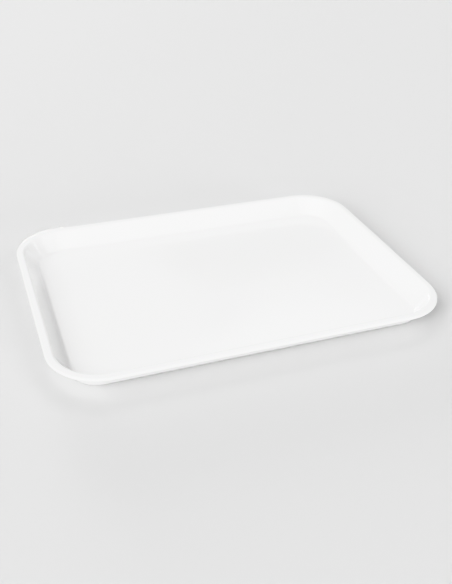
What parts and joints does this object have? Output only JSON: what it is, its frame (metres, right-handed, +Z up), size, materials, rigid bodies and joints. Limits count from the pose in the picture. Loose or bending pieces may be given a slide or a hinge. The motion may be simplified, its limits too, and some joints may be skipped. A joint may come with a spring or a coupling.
{
  "type": "serving tray",
  "caption": "Shallow rectangular tray with rounded corners, flared walls, a flat floor and a narrow outward rim, moulded in one piece from glossy white plastic.",
  "frame": {"origin": "middle of the footprint, on the surface the tray stands on", "axes": "+X along the tray's length, +Y along its width, +Z up out of the open side"},
  "size_m": [0.45, 0.33, 0.024],
  "materials": {
    "white_plastic": "smooth moulded white, glossy, with a faint handling haze"
  },
  "bodies": {
    "root": {"tray": "white_plastic"}
  },
  "joints": []
}
